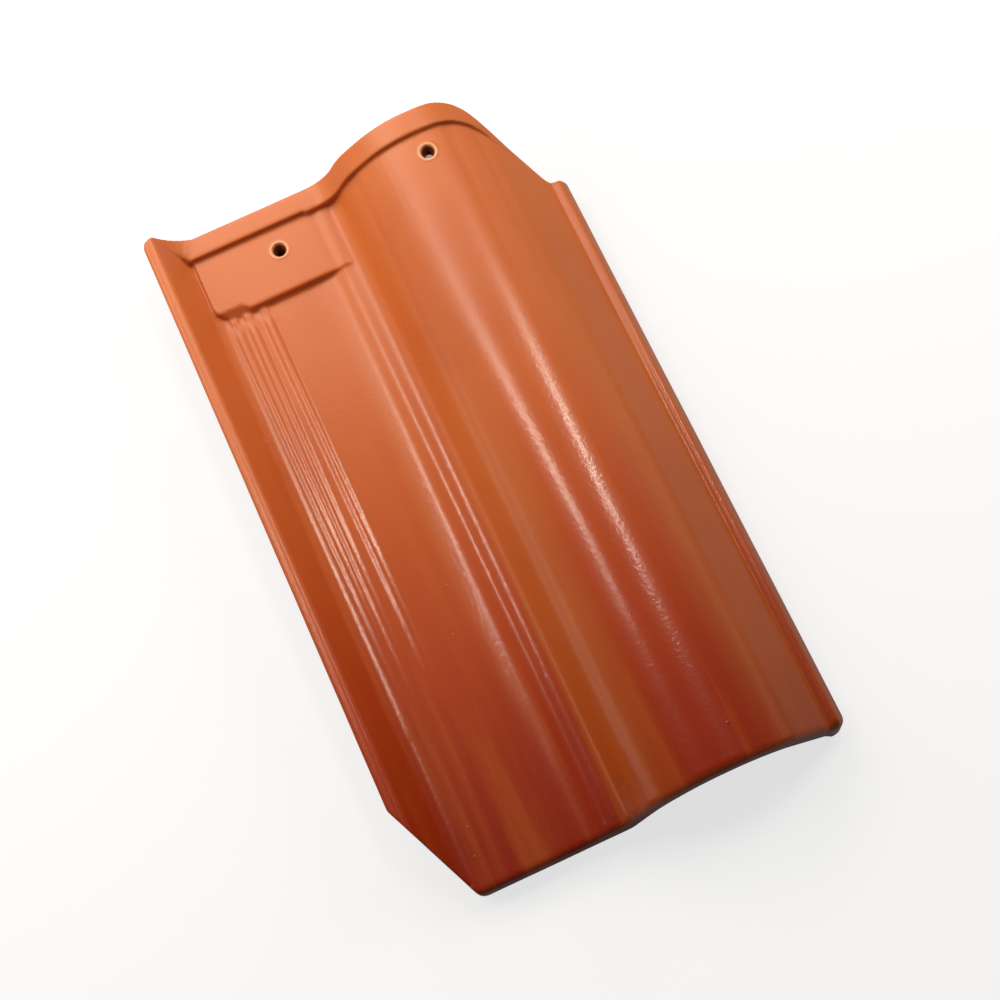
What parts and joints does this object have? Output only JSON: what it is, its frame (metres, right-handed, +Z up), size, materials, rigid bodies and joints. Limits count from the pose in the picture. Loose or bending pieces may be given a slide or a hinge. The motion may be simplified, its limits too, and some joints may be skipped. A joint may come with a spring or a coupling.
{
  "type": "clay roof tile",
  "caption": "Interlocking clay roof tile with a flat ribbed pan, a wide roll, a beaded rim, a head bar and band, slanted corner cuts and nail holes.",
  "frame": {"origin": "centre of the tile's box in plan, on the level floor that it lies on", "axes": "+Y runs from the foot edge to the head edge, +X from the beaded rim to the flange beside the roll, +Z up through the roll's crest"},
  "size_m": [0.26, 0.4544, 0.0655],
  "materials": {
    "glazed_clay": "fired clay under a thin clear orange glaze, semi-gloss"
  },
  "bodies": {
    "root": {"roof_tile": "glazed_clay"}
  },
  "joints": []
}
